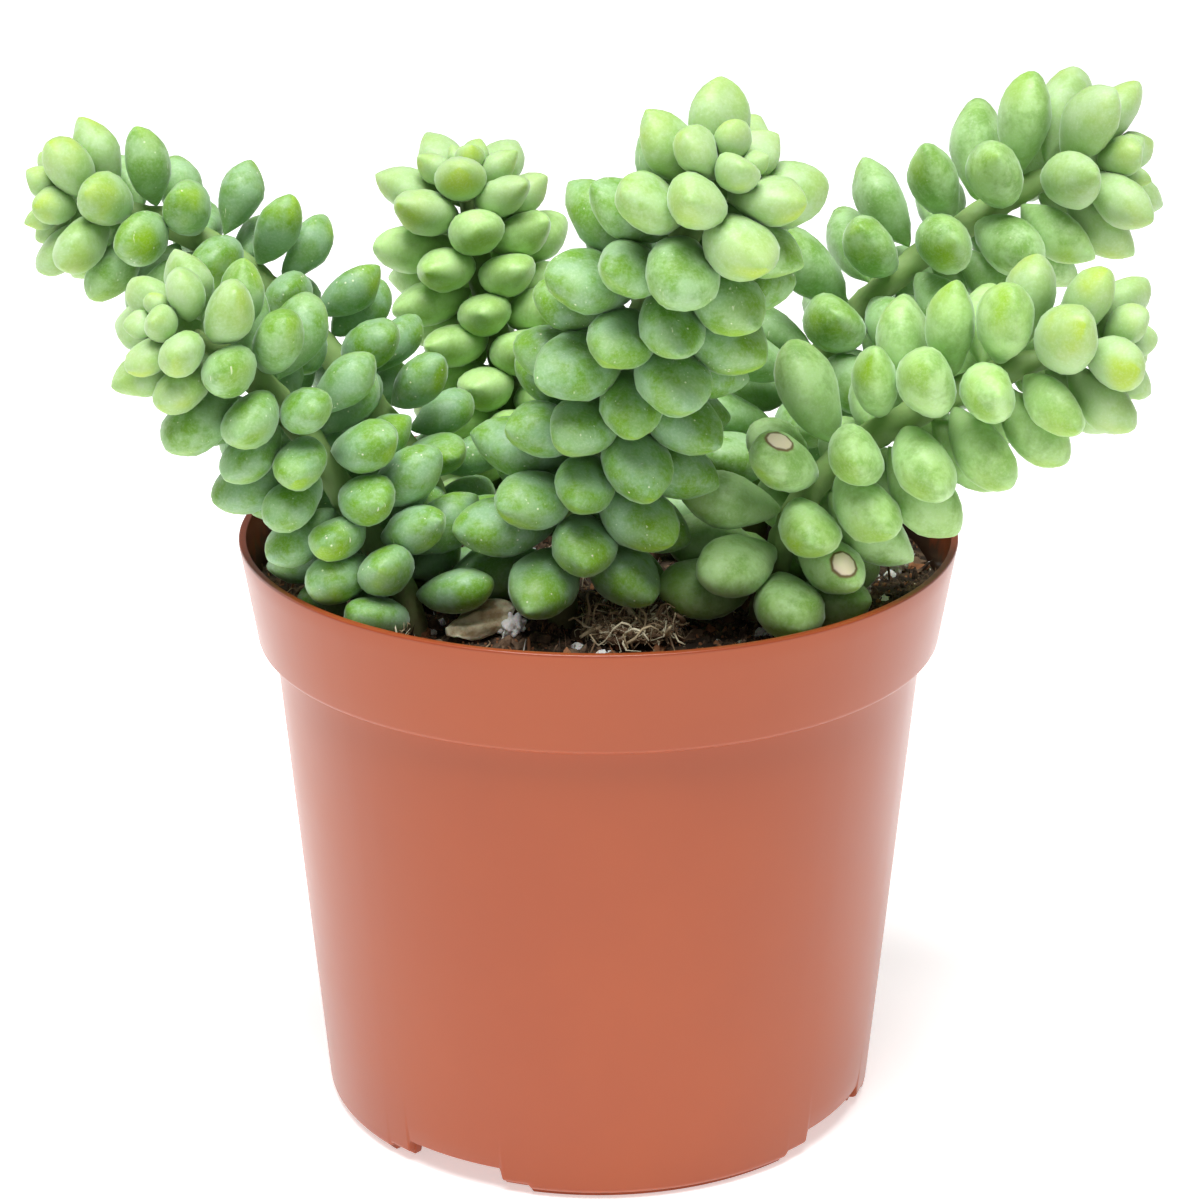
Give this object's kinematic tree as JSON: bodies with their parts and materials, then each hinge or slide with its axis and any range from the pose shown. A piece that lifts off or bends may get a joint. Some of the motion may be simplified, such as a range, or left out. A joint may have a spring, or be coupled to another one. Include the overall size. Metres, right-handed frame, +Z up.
{
  "type": "potted burros tail plant",
  "caption": "Trailing succulent with plump, overlapping pale green leaves on arching shoots, in a round tapered terracotta-coloured plastic nursery pot with a collar and notched feet.",
  "frame": {"origin": "centre of the whole object's footprint box, on the surface the pot stands on; the pot's own axis passes through x -0.2 mm, y +1.5 mm", "axes": "+Z up along the pot's axis; -Y is the front, where the largest shoot leans out; +X is the right-hand side"},
  "size_m": [0.1657, 0.1081, 0.1611],
  "materials": {
    "pot": "satin",
    "potting_mix": "matte",
    "stem": "matte",
    "leaf": "satin",
    "young_leaf": "satin",
    "perlite": "matte",
    "dry_leaf": "matte",
    "bark_fibres": "matte"
  },
  "bodies": {
    "root": {"back_left_leaves_1": "leaf", "back_left_leaves_2": "leaf", "back_left_leaves_3": "leaf", "back_left_leaves_4": "leaf", "back_left_leaves_5": "leaf", "back_left_leaves_6": "leaf", "back_left_stem": "stem", "back_left_tip": "young_leaf", "back_right_leaves_1": "leaf", "back_right_leaves_2": "leaf", "back_right_leaves_3": "leaf", "back_right_leaves_4": "leaf", "back_right_leaves_5": "leaf", "back_right_stem": "stem", "back_right_tip": "young_leaf", "bark_fibres": "bark_fibres", "centre_leaves_1": "leaf", "centre_leaves_2": "leaf", "centre_leaves_3": "leaf", "centre_leaves_4": "leaf", "centre_leaves_5": "leaf", "centre_leaves_6": "leaf", "centre_stem": "stem", "centre_tip": "young_leaf", "dry_leaf": "dry_leaf", "fallen_leaf_1": "leaf", "fallen_leaf_2": "leaf", "fallen_leaf_3": "leaf", "front_left_leaves_1": "leaf", "front_left_leaves_2": "leaf", "front_left_leaves_3": "leaf", "front_left_leaves_4": "leaf", "front_left_leaves_5": "leaf", "front_left_stem": "stem", "front_left_tip": "young_leaf", "front_right_leaves_1": "leaf", "front_right_leaves_2": "leaf", "front_right_leaves_3": "leaf", "front_right_leaves_4": "leaf", "front_right_stem": "stem", "front_right_tip": "young_leaf", "perlite_1": "perlite", "perlite_2": "perlite", "perlite_3": "perlite", "perlite_4": "perlite", "perlite_5": "perlite", "perlite_6": "perlite", "pot": "pot", "potting_mix": "potting_mix", "rear_leaves_1": "leaf", "rear_leaves_2": "leaf", "rear_leaves_3": "leaf", "rear_leaves_4": "leaf", "rear_stem": "stem", "rear_tip": "young_leaf"}
  },
  "joints": []
}
